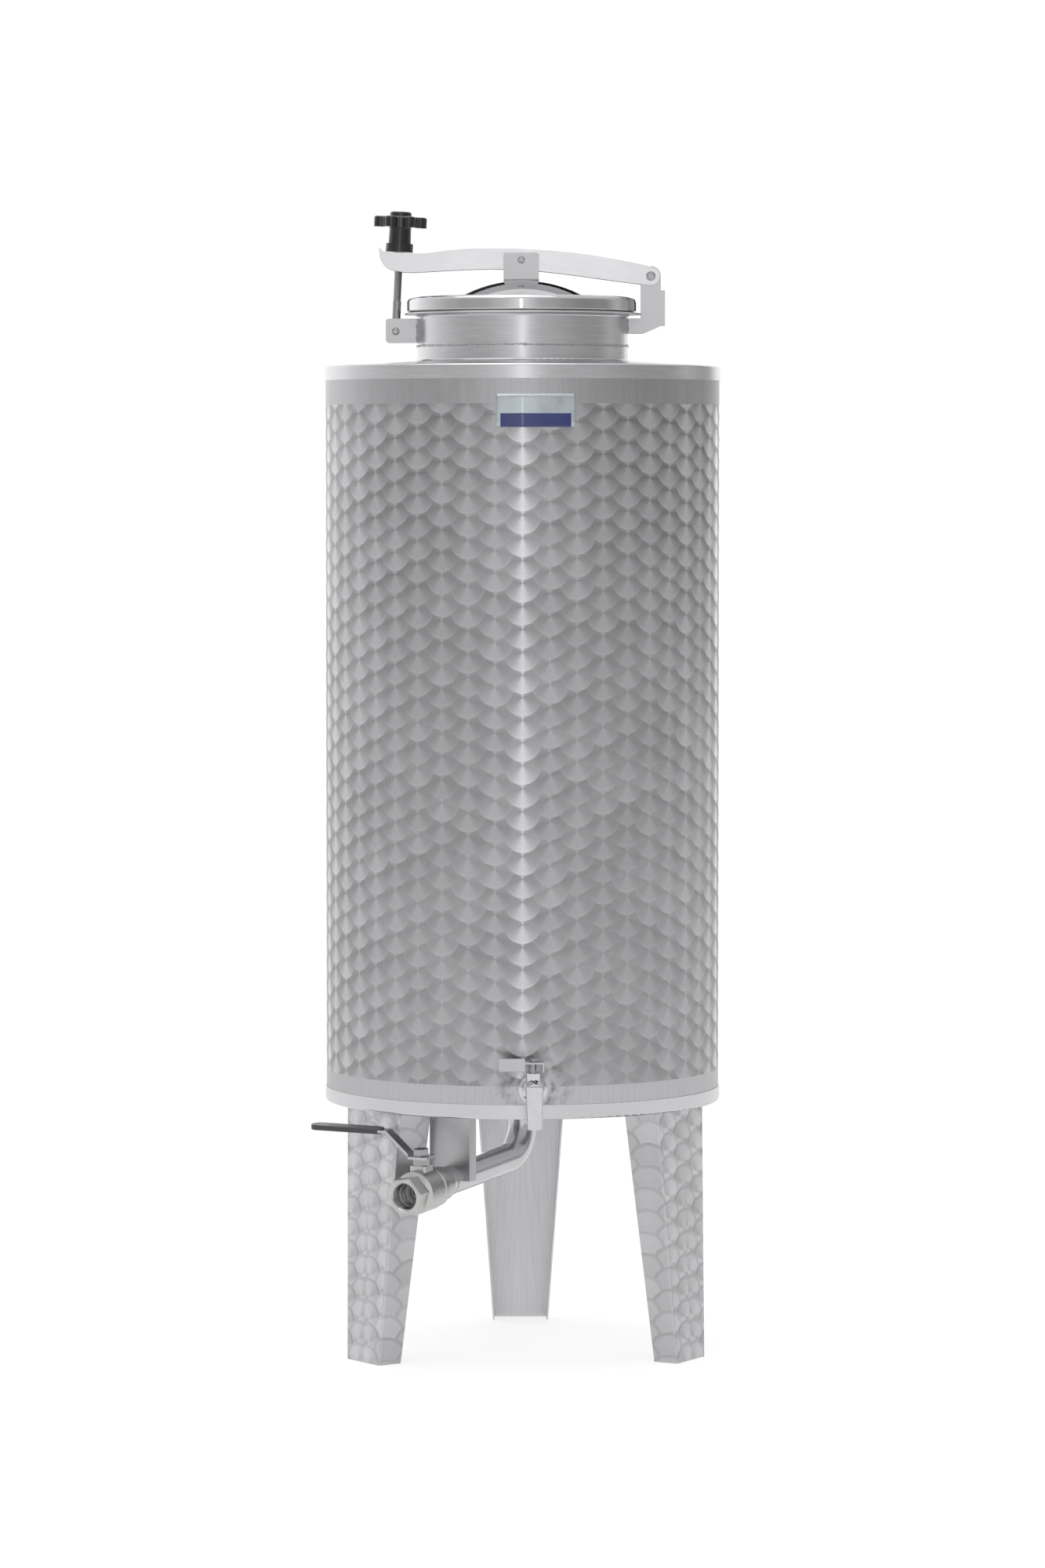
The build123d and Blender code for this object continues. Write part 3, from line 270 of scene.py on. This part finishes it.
def round_shell(add, calc, x, y, z):
    """Distance round the shell = angle times radius; direction = (-sin, cos, 0); ground all round."""
    angle = calc("ARCTAN2", y, x)
    direction = add("ShaderNodeCombineXYZ", {0: calc("MULTIPLY", calc("SINE", angle), -1.0), 1: calc("COSINE", angle)})
    return calc("ADD", calc("MULTIPLY", angle, SHELL_RADIUS), COLUMN_START), direction.outputs[0], 1.0


def tap_halo(add, calc, distance, height):
    """Polished ring where the tap's boss was welded in, with scorched patches beyond it.

    Factor = 1.12 inside the ring, then 1 less a noise that fades out with the distance from the tap.
    """
    across = calc("SUBTRACT", distance, np.radians(TAP_AZIMUTH) * SHELL_RADIUS + COLUMN_START)
    up = calc("SUBTRACT", height, TAP_HEIGHT)
    away = calc("SQRT", calc("ADD", calc("MULTIPLY", across, across), calc("MULTIPLY", up, up)))
    place = add("ShaderNodeCombineXYZ", {0: across, 1: up}).outputs[0]
    noise = add("ShaderNodeTexNoise", {0: place, 2: 70.0, 3: 4.0, 4: 0.6}).outputs[0]
    ring = mapped(add, away, 20 * MM, 24 * MM, 1.0, 0.0)
    scorch = calc("MULTIPLY", mapped(add, away, 24 * MM, 52 * MM, 1.0, 0.0), mapped(add, noise, 0.46, 0.62, 0.0, 0.5))
    darker = calc("MULTIPLY", scorch, calc("SUBTRACT", 1.0, ring))
    return calc("SUBTRACT", calc("ADD", 1.0, calc("MULTIPLY", ring, 0.12)), darker)


def round_leg(azimuth):
    """Distance across a leg = the point's part along the tangent at the leg's azimuth, then on round its folds.

    Only the outer faces are ground: the web's where the normal points outward, a flange's where the normal
    points away from the leg's middle.
    """
    turn = np.radians(azimuth)
    side = (float(-np.sin(turn)), float(np.cos(turn)), 0.0)
    out = (float(np.cos(turn)), float(np.sin(turn)), 0.0)

    def along(add, calc, x, y, z):
        place = add("ShaderNodeTexCoord")
        flat = add("ShaderNodeVectorMath", {0: place.outputs["Object"], 1: side}, operation="DOT_PRODUCT").outputs["Value"]
        deep = add("ShaderNodeVectorMath", {0: place.outputs["Object"], 1: out}, operation="DOT_PRODUCT").outputs["Value"]
        facing_out = add(
            "ShaderNodeVectorMath", {0: place.outputs["Normal"], 1: out}, operation="DOT_PRODUCT"
        ).outputs["Value"]
        facing_side = add(
            "ShaderNodeVectorMath", {0: place.outputs["Normal"], 1: side}, operation="DOT_PRODUCT"
        ).outputs["Value"]
        fold = calc("MULTIPLY", calc("SIGN", flat), calc("SUBTRACT", LEG_TOP_RADIUS, deep))
        direction = add("ShaderNodeCombineXYZ", {0: side[0], 1: side[1], 2: 0.0})
        ground = calc(
            "MAXIMUM",
            calc("GREATER_THAN", facing_out, 0.3),
            calc("GREATER_THAN", calc("MULTIPLY", facing_side, calc("SIGN", flat)), 0.5),
        )
        return calc("ADD", flat, calc("MULTIPLY", fold, 0.8)), direction.outputs[0], ground

    return along


def plastic(name, colour, roughness, coat=0.0, grain=260.0, bump=0.05):
    """Moulded plastic or rubber: a dark or pale dielectric with a faint moulded grain under its gloss."""
    material, tree, shader, add = new_material(name)
    place = add("ShaderNodeTexCoord").outputs["Object"]
    fine = add("ShaderNodeTexNoise", {0: place, 2: grain, 3: 3.0}).outputs[0]
    wide = add("ShaderNodeTexNoise", {0: place, 2: 30.0, 3: 3.0}).outputs[0]
    tree.links.new(mapped(add, wide, 0.3, 0.7, roughness * 0.8, roughness * 1.25), shader.inputs["Roughness"])
    tree.links.new(tinted(add, linear(colour), mapped(add, wide, 0.3, 0.7, 0.85, 1.15)), shader.inputs["Base Color"])
    rise = add("ShaderNodeBump", {"Strength": bump, "Distance": 0.0003, "Height": fine}).outputs[0]
    tree.links.new(rise, shader.inputs["Normal"])
    shader.inputs["Coat Weight"].default_value = coat
    shader.inputs["Coat Roughness"].default_value = 0.06
    return material


def weld_steel():
    """Cleaned TIG weld: rippled, a little rougher than the sheet, with grey and pale patches."""
    return steel("tig_weld_steel", "#b4b4b6", 0.33, spread=0.14, size=420.0, bump=0.8)


def label_film():
    """Silver polyester sticker: metallised film under a clear glossy layer."""
    material, tree, shader, add = new_material("silver_label_film")
    place = add("ShaderNodeTexCoord").outputs["Object"]
    haze = add("ShaderNodeTexNoise", {0: place, 2: 55.0, 3: 3.0}).outputs[0]
    tree.links.new(mapped(add, haze, 0.3, 0.7, 0.24, 0.38), shader.inputs["Roughness"])
    tree.links.new(tinted(add, linear("#aeb6bb"), mapped(add, haze, 0.3, 0.7, 0.9, 1.08)), shader.inputs["Base Color"])
    shader.inputs["Metallic"].default_value = 0.75
    shader.inputs["Coat Weight"].default_value = 0.6
    return material


MATERIALS = {
    # Shell discs: the defaults paint shade on each disc's flanks and a faint highlight along each disc's border.
    "circle_polished_steel": lambda: circle_polish(
        "circle_ground_sheet", "#b0b0b2", round_shell, PAD_COLUMN, PAD_ROW, PAD_RADIUS,
        low=PATTERN_BOTTOM, high=PATTERN_TOP, mark=tap_halo,
    ),
    "brushed_sheet": lambda: steel(
        "fine_brushed_sheet", "#c8c8ca", 0.24, spread=0.06, stretch=(1, 1, 30), size=30.0, anisotropy=0.3
    ),
    "mirror_steel": lambda: steel("mirror_polished_steel", "#cfcfd1", 0.07, spread=0.03),
    "silicone": lambda: plastic("pale_silicone", "#d6d2c8", 0.45),
    "brushed_plate": lambda: steel(
        "brushed_plate_steel", "#bcbcbe", 0.33, spread=0.08, stretch=(6, 6, 60), size=20.0, bump=0.15
    ),
    "pin_steel": lambda: steel("turned_pin_steel", "#a4a4a6", 0.3, spread=0.08, size=300.0),
    "polished_channel": lambda: steel(
        "polished_channel_steel", "#c6c6c8", 0.22, spread=0.07, stretch=(3, 40, 40), size=18.0, bump=0.08
    ),
    "bolt_steel": lambda: steel("cold_headed_steel", "#a0a0a2", 0.28, spread=0.08, size=200.0),
    "black_plastic": lambda: plastic("glossy_black_phenolic", "#0b0b0c", 0.16, coat=0.5),
    "brass": lambda: steel("turned_brass", "#b08a4a", 0.3, size=200.0),
    "polished_pipe": lambda: steel("drawn_tube_steel", "#bebec0", 0.17, spread=0.05, size=60.0),
    "cast_valve_steel": lambda: steel("tumbled_cast_steel", "#bbbbba", 0.3, spread=0.1, size=500.0, bump=0.35),
    "ptfe": lambda: plastic("white_ptfe", "#e8e8e4", 0.4),
    "pressed_lever_steel": lambda: steel("pressed_strip_steel", "#b6b6b8", 0.26, spread=0.08, size=120.0, bump=0.1),
    "grey_vinyl": lambda: plastic("dipped_vinyl", "#3c3d40", 0.35, grain=400.0, bump=0.2),
    "polished_tap": lambda: steel("polished_cast_steel", "#cacacc", 0.12, spread=0.05, size=90.0),
}


def dress_nodes():
    """Give each CAD node the finish of its slot; each leg gets the pad pattern in its own direction."""
    slots = {part["node"]: part["material_slot"] for part in frame["record"]["subparts"]}
    made = {}
    for node, piece in frame["nodes"].items():
        slot = slots[node]
        if slot == "circle_polished_leg":
            # Leg discs: faint painted flank shade and a painted dark shade line along each disc's border.
            finish = circle_polish(
                f"circle_ground_{node}", "#c6c6c8", round_leg(LEG_AZIMUTHS[node]), 31 * MM, PAD_ROW, 22 * MM,
                flip=-1.0, painted_fan_shade=0.04, painted_rim_light_shade=-0.16, rough=0.33,
            )
        else:
            if slot not in made:
                made[slot] = MATERIALS[slot]()
            finish = made[slot]
        materials = piece.data.materials
        if not materials:
            materials.append(finish)
        for place in range(len(materials)):
            materials[place] = finish


def surface(name, points, closed_u=False, closed_v=False, material=None, body="root"):
    """Mesh of a grid of points with shape (rows, columns, 3); u runs along columns, v along rows."""
    rows, columns = points.shape[:2]
    row = np.arange(rows if closed_v else rows - 1)
    column = np.arange(columns if closed_u else columns - 1)
    r, c = np.meshgrid(row, column, indexing="ij")
    r_next, c_next = (r + 1) % rows, (c + 1) % columns
    faces = np.stack(
        (r * columns + c, r * columns + c_next, r_next * columns + c_next, r_next * columns + c), axis=-1
    ).reshape(-1, 4)
    mesh = bpy.data.meshes.new(name)
    mesh.from_pydata(points.reshape(-1, 3).tolist(), [], faces.tolist())
    mesh.polygons.foreach_set("use_smooth", np.ones(len(faces), dtype=bool))
    mesh.update()
    piece = bpy.data.objects.new(name, mesh)
    bpy.context.scene.collection.objects.link(piece)
    if material:
        mesh.materials.append(material)
    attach(piece, body)
    return piece


def bead(name, path, width, lift, material, seed, body="root", normal=None):
    """Weld bead: a round section carried along a path, with ripples of the torch.

    Point = path + width * (1 + ripple) * cos(a) * side + lift * (1 + ripple) * sin(a) * up, where side and up
    are square to the path and the ripple is a sum of sines with seeded phases.
    """
    count = len(path)
    ahead = np.gradient(path, axis=0)
    ahead /= np.linalg.norm(ahead, axis=1, keepdims=True)
    up = np.asarray(normal, float)
    if up.ndim == 1:
        up = np.tile(up, (count, 1))
    side = np.cross(ahead, up)
    side /= np.linalg.norm(side, axis=1, keepdims=True)
    up = np.cross(side, ahead)
    rng = np.random.default_rng(seed)
    length = np.concatenate(([0], np.cumsum(np.linalg.norm(np.diff(path, axis=0), axis=1))))
    ripple = sum(
        strength * np.sin(TAU * length / pitch + rng.uniform(0, TAU))
        for strength, pitch in ((0.18, 2.3 * MM), (0.22, 7.1 * MM), (0.25, 19.0 * MM))
    )
    taper = np.clip(np.minimum(length, length[-1] - length) / (2 * MM) + 0.15, 0, 1)
    scale = ((1 + ripple) * taper)[:, None, None]
    angle = np.linspace(0, TAU, 12, endpoint=False)[None, :, None]
    ring = np.cos(angle) * side[:, None, :] * width + np.sin(angle) * up[:, None, :] * lift
    return surface(name, path[:, None, :] + ring * scale, closed_u=True, material=material, body=body)


def arc_path(radius, z, start, stop, count, wander=0.0, seed=0):
    """Path round the tank's axis at one height, with a seeded wander up and down."""
    turn = np.radians(np.linspace(start, stop, count))
    rng = np.random.default_rng(seed)
    shift = sum(np.sin(k * turn + rng.uniform(0, TAU)) / (1 + k / 30) for k in (3, 7, 17, 41, 83))
    heights = z + wander * shift / 4
    path = np.stack((radius * np.cos(turn), radius * np.sin(turn), heights), axis=-1)
    outward = np.stack((np.cos(turn), np.sin(turn), np.zeros(count)), axis=-1)
    return path, outward


def leg_top_path(azimuth):
    """Path along a leg's web and flanges where they meet the dish: three straight runs."""
    turn = np.radians(azimuth)
    out = np.array((np.cos(turn), np.sin(turn), 0))
    side = np.array((-np.sin(turn), np.cos(turn), 0))
    half = LEG_TOP_WIDTH / 2
    corners = [
        out * (LEG_TOP_RADIUS - LEG_TOP_DEPTH) - side * half,
        out * LEG_TOP_RADIUS - side * half,
        out * LEG_TOP_RADIUS + side * half,
        out * (LEG_TOP_RADIUS - LEG_TOP_DEPTH) + side * half,
    ]
    runs = [np.linspace(a, b, 60, endpoint=False) for a, b in zip(corners, corners[1:])]
    path = np.concatenate(runs)
    path[:, 2] = TANK_BOTTOM - 0.8 * MM
    away = path / np.linalg.norm(path, axis=1, keepdims=True)
    return path, away


def welds():
    """All weld beads that the sheet work shows."""
    metal = weld_steel()
    path, outward = arc_path(NECK_RADIUS, NECK_WELD_Z, 0, 360, 900, wander=0.9 * MM, seed=3)
    bead("neck_weld", path, 1.1 * MM, 0.55 * MM, metal, 4, normal=outward)
    for number, (leg, azimuth) in enumerate(LEG_AZIMUTHS.items()):
        path, away = leg_top_path(azimuth)
        bead(f"{leg}_weld", path, 1.6 * MM, 1.4 * MM, metal, 20 + number, normal=away)
    for node, (direction, half) in BRACKET_WELDS.items():
        low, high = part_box(node)
        top = min(high[2], NECK_TOP) - 7 * MM
        for end in (-1, 1):
            reach = np.sqrt(NECK_RADIUS**2 - half**2)
            path = np.linspace((direction * reach, end * half, low[2] + 1 * MM), (direction * reach, end * half, top), 40)
            name = f"{node}_weld_{'left' if end < 0 else 'right'}"
            bead(name, path, 1.2 * MM, 1.0 * MM, metal, 40 + end, normal=(direction, end, 0))
    path, outward = ring_path(BALL - FLOW * (VALVE_HALF + NIPPLE_BARE), FLOW, PIPE_RADIUS)
    bead("nipple_weld", path, 1.6 * MM, 0.6 * MM, metal, 50, normal=outward)
    turn = np.radians(TAP_AZIMUTH)
    radial = np.array((np.cos(turn), np.sin(turn), 0.0))
    path, outward = ring_path(radial * SHELL_RADIUS + (0, 0, TAP_HEIGHT), radial, TAP_BOSS_RADIUS)
    sideways = (path - radial * (path @ radial)[:, None])[:, :2]
    path[:, :2] -= radial[:2] * ((sideways**2).sum(axis=1, keepdims=True) / (2 * SHELL_RADIUS))
    bead("tap_boss_weld", path, 1.0 * MM, 1.0 * MM, metal, 51, normal=outward + radial)


def ring_path(centre, axis, radius, count=160):
    """Closed-looking circle about an axis, with the outward direction at each point."""
    axis = np.asarray(axis, float)
    across = np.cross(axis, (0.0, 0.0, 1.0))
    across /= np.linalg.norm(across)
    third = np.cross(axis, across)
    turn = np.linspace(0, TAU * 1.01, count)[:, None]
    outward = np.cos(turn) * across + np.sin(turn) * third
    return np.asarray(centre, float) + radius * outward, outward


def thread(name, origin, axis, root, depth, pitch, length, material, body):
    """Screw thread: a helix whose radius rises from root to root + depth and back in each turn.

    Point = origin + axis * (profile + turn/2 pi) * pitch + radius * (cos(turn) across + sin(turn) third). A
    negative depth makes the thread of a hole.
    """
    axis = np.asarray(axis, float)
    across = np.cross(axis, (0.0, 1.0, 0.0))
    across /= np.linalg.norm(across)
    third = np.cross(axis, across)
    turns = length / pitch - 1
    turn = np.linspace(0, TAU * turns, int(turns * 28))[None, :, None]
    profile = np.array([0.0, 0.12, 0.5, 0.62, 1.0])[:, None, None]
    radius = root + depth * np.array([0.0, 0.0, 1.0, 1.0, 0.0])[:, None, None]
    along = (profile + turn / TAU) * pitch
    points = np.asarray(origin, float) + axis * along + radius * (np.cos(turn) * across + np.sin(turn) * third)
    return surface(name, points, material=material, body=body)


def threads():
    """Thread of the swing bolt and of the drain outlet."""
    rolled = steel("rolled_thread_steel", "#98989a", 0.3, size=300.0)
    bolt_axis = np.array((np.sin(BOLT_LEAN), 0.0, np.cos(BOLT_LEAN)))
    thread(
        "bolt_thread", CLEVIS_PIN + bolt_axis * SHANK_LENGTH, bolt_axis, BOLT_CORE, BOLT_THREAD_DEPTH, BOLT_PITCH,
        BOLT_REACH - SHANK_LENGTH, rolled, "bolt",
    )
    thread(
        "outlet_thread", BALL + FLOW * (VALVE_HALF - OUTLET_THREAD_LENGTH), FLOW, OUTLET_RADIUS,
        -OUTLET_THREAD_DEPTH, OUTLET_PITCH, OUTLET_THREAD_LENGTH - 1.5 * MM, rolled, "root",
    )


def patch(name, centre, half_width, low, high, lift, material):
    """Thin sheet laid round the shell; its border row is turned down to the shell."""
    turn = np.radians(centre) + np.linspace(-half_width, half_width, 42) / SHELL_RADIUS
    height = np.linspace(low, high, 10)
    turn[[0, -1]], height[[0, -1]] = turn[[1, -2]], height[[1, -2]]
    radius = np.full((len(height), len(turn)), SHELL_RADIUS + lift)
    radius[[0, -1]], radius[:, [0, -1]] = SHELL_RADIUS, SHELL_RADIUS
    t, z = np.meshgrid(turn, height)
    points = np.stack((radius * np.cos(t), radius * np.sin(t), z), axis=-1)
    return surface(name, points, material=material)


def label():
    """Bare sticker: a silver sheet with a dark blue band, laid round the shell."""
    blue = plastic("printed_blue_ink", "#1b2a66", 0.3, coat=0.5, bump=0.0)
    patch("label_sheet", -86.2, 48.5 * MM, 1091.5 * MM, 1140.5 * MM, 0.25 * MM, label_film())
    patch("label_band", -86.2, 43.0 * MM, 1094.5 * MM, 1115.0 * MM, 0.42 * MM, blue)


def studio():
    """Floor, white surroundings and soft lights; the front of the room is grey, as a studio's is."""
    bpy.ops.mesh.primitive_plane_add(size=60.0, location=(0, 0, -0.0002))
    floor = bpy.context.object
    floor.name = "studio_floor"
    material, tree, shader, add = new_material("pale_floor")
    place = add("ShaderNodeTexCoord").outputs["Object"]
    away = add("ShaderNodeVectorMath", {0: place}, operation="LENGTH").outputs["Value"]
    tree.links.new(mapped(add, away, 0.25, 1.1, FLOOR_GLOW, 1.05), shader.inputs["Emission Strength"])
    tree.links.new(tinted(add, (1.0, 1.0, 1.0), mapped(add, away, 0.25, 1.1, 0.3, 0.0)), shader.inputs["Base Color"])
    shader.inputs["Emission Color"].default_value = (1.0, 1.0, 1.0, 1.0)
    shader.inputs["Specular IOR Level"].default_value = 0.0
    shader.inputs["Roughness"].default_value = 1.0
    floor.data.materials.append(material)

    world = bpy.data.worlds.new("studio_surroundings")
    bpy.context.scene.world = world
    world.use_nodes = True
    tree = world.node_tree
    out = tree.nodes["Background"]

    def add(kind, inputs=(), **settings):
        node = tree.nodes.new(kind)
        for key, value in settings.items():
            setattr(node, key, value)
        for key, value in dict(inputs).items():
            if isinstance(value, bpy.types.NodeSocket):
                tree.links.new(value, node.inputs[key])
            else:
                node.inputs[key].default_value = value
        return node

    calc = calculator(add)
    split = add("ShaderNodeSeparateXYZ", {0: add("ShaderNodeTexCoord").outputs["Generated"]})
    bearing = calc("ARCTAN2", split.outputs[0], calc("MULTIPLY", split.outputs[1], -1.0))
    share = mapped(add, bearing, -np.pi, np.pi, 0.0, 1.0)
    ramp = add("ShaderNodeValToRGB", {0: share})
    stops = ROOM_STOPS
    elements = ramp.color_ramp.elements
    while len(elements) < len(stops):
        elements.new(0.5)
    for element, (place, value) in zip(elements, stops):
        element.position = place
        element.color = (value, value, value, 1.0)
    above = mapped(add, split.outputs[2], 0.25, 0.8, 0.0, 1.0)
    room = calc("ADD", calc("MULTIPLY", ramp.outputs[0], calc("SUBTRACT", 1.0, above)), calc("MULTIPLY", above, 0.85))
    seen = add("ShaderNodeLightPath").outputs["Is Camera Ray"]
    final = calc("ADD", calc("MULTIPLY", room, calc("SUBTRACT", 1.0, seen)), calc("MULTIPLY", seen, 1.1))
    tree.links.new(final, out.inputs["Strength"])
    out.inputs["Color"].default_value = (1.0, 1.0, 1.0, 1.0)


# Brightness of the room by bearing: 0 and 1 are behind the tank, 0.5 is the camera's side, and a larger
# share is further to the tank's right.
ROOM_STOPS = [
    (0.00, 1.35), (0.13, 1.30), (0.19, 0.95), (0.27, 0.62), (0.33, 0.50), (0.40, 0.52), (0.45, 0.70),
    (0.488, 0.95), (0.512, 0.90), (0.55, 0.58), (0.62, 0.42), (0.68, 0.34), (0.76, 0.36), (0.81, 0.60),
    (0.845, 0.42), (0.89, 0.45), (0.92, 1.30), (1.00, 1.35),
]
FLOOR_GLOW = 0.78


def area_light(name, place, target, width, height, power):
    """Rectangular soft light turned towards a target."""
    data = bpy.data.lights.new(name, "AREA")
    data.shape = "RECTANGLE"
    data.size, data.size_y = width, height
    data.energy = power
    lamp = bpy.data.objects.new(name, data)
    bpy.context.scene.collection.objects.link(lamp)
    lamp.location = place
    lamp.rotation_euler = (Vector(target) - Vector(place)).to_track_quat("-Z", "Y").to_euler()
    return lamp


def lights():
    """A narrow strip beside the camera, which draws the bright line down the shell, and a box above."""
    area_light("front_strip", (0.0, -5.6, 1.5), (0, 0, 0.75), 0.06, 3.0, 5.0)
    area_light("top_box", (-0.6, -0.4, 4.2), (0, 0, 0.7), 3.0, 3.0, 40.0)


def camera():
    """Camera at the photograph's distance and height, tilted down to put the horizon where it is there."""
    data = bpy.data.cameras.new("camera")
    data.sensor_width = SENSOR_WIDTH
    data.lens = CAMERA_FOCAL_PX / IMAGE_HEIGHT_PX * SENSOR_WIDTH
    data.clip_end = 100.0
    eye = bpy.data.objects.new("camera", data)
    bpy.context.scene.collection.objects.link(eye)
    eye.location = (0.0, -CAMERA_DISTANCE, CAMERA_HEIGHT)
    eye.rotation_euler = (np.pi / 2 - CAMERA_PITCH, 0.0, 0.0)
    bpy.context.scene.camera = eye


dress_nodes()
welds()
threads()
label()
studio()
lights()
camera()
bpy.context.scene.view_settings.view_transform = "Standard"
